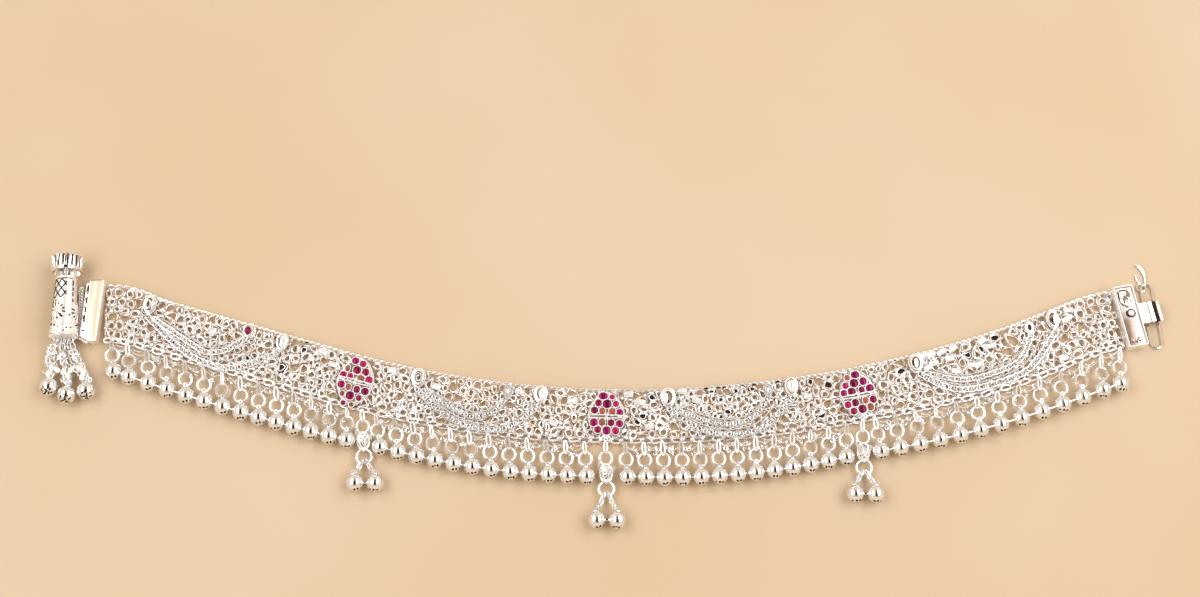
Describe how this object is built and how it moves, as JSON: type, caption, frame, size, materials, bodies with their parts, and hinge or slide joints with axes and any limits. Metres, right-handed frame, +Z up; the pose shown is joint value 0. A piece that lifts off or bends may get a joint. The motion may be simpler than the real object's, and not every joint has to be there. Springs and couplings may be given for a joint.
{
  "type": "payal anklet",
  "caption": "Open mesh band laid flat in a shallow arc, with a fringe of round bells, egg settings of red stones, and a screw barrel and a tongue at its ends.",
  "frame": {"origin": "middle of the whole outline, on the surface it lies on", "axes": "+X along the band towards the tongue end, +Y from the bells towards the plain edge, +Z up from the surface"},
  "size_m": [0.268, 0.0668, 0.0074],
  "materials": {
    "silver_mesh": "bright white silver wire mesh",
    "silver_polished": "mirror polished silver",
    "silver_satin": "satin, engraved and drawn silver wire",
    "ruby_glass": "glossy crimson glass stones in silver cells"
  },
  "bodies": {
    "anklet": {"band_section_1": "silver_mesh", "band_section_2": "silver_mesh", "band_section_3": "silver_mesh", "band_section_4": "silver_mesh", "border_chain": "silver_mesh", "barrel_links": "silver_satin", "bell_row_1": "silver_polished", "bell_row_2": "silver_polished", "bell_row_3": "silver_polished", "bell_row_4": "silver_polished", "bezel_1": "silver_mesh", "bezel_2": "silver_mesh", "bezel_3": "silver_mesh", "bezel_4": "silver_mesh", "bezel_5": "silver_mesh", "bezel_6": "silver_mesh", "bezel_7": "silver_mesh", "bezel_8": "silver_mesh", "bezel_ruby": "ruby_glass", "clasp_barrel": "silver_satin", "end_plate_left": "silver_polished", "end_plate_right": "silver_polished", "festoon_1": "silver_mesh", "festoon_2": "silver_mesh", "festoon_3": "silver_mesh", "festoon_4": "silver_mesh", "keeper_loop": "silver_satin", "pendant_bell_left_a": "silver_polished", "pendant_bell_left_b": "silver_polished", "pendant_bell_middle_a": "silver_polished", "pendant_bell_middle_b": "silver_polished", "pendant_bell_right_a": "silver_polished", "pendant_bell_right_b": "silver_polished", "pendant_chain_left": "silver_satin", "pendant_chain_middle": "silver_satin", "pendant_chain_right": "silver_satin", "ruby_setting_left": "ruby_glass", "ruby_setting_middle": "ruby_glass", "ruby_setting_right": "ruby_glass", "tassel_bell_1": "silver_polished", "tassel_bell_2": "silver_polished", "tassel_bell_3": "silver_polished", "tassel_strand_1": "silver_satin", "tassel_strand_2": "silver_satin", "tassel_strand_3": "silver_satin"},
    "screw": {"clasp_screw": "silver_polished"}
  },
  "joints": [
    {"name": "screw_slide", "type": "slide", "parent": "anklet", "child": "screw", "axis": [-0.0576, 0.9983, 0], "range_m": [-0.0025, 0.0105]}
  ]
}
